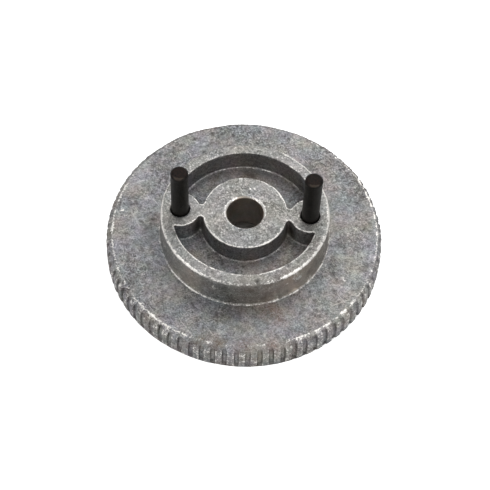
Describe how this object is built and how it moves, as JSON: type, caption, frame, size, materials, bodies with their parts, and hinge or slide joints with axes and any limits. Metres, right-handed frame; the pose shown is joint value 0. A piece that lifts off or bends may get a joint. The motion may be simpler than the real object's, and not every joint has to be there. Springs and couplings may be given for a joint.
{
  "type": "clutch flywheel",
  "caption": "Die-cast disc flywheel with a serrated rim, a raised clutch ring with a hub and pin bosses inside, and upright steel clutch pins.",
  "frame": {"origin": "axis of the bore, in the plane of the back face", "axes": "+Z along the bore, from the engine side to the clutch side; the two clutch pins stand on the X axis"},
  "size_m": [0.04, 0.04, 0.0177],
  "materials": {
    "die_cast_metal": "as cast, tumbled, mottled grey",
    "black_steel_pin": "black oxide on ground steel"
  },
  "bodies": {
    "root": {"flywheel_casting": "die_cast_metal", "clutch_pin_left": "black_steel_pin", "clutch_pin_right": "black_steel_pin"}
  },
  "joints": []
}
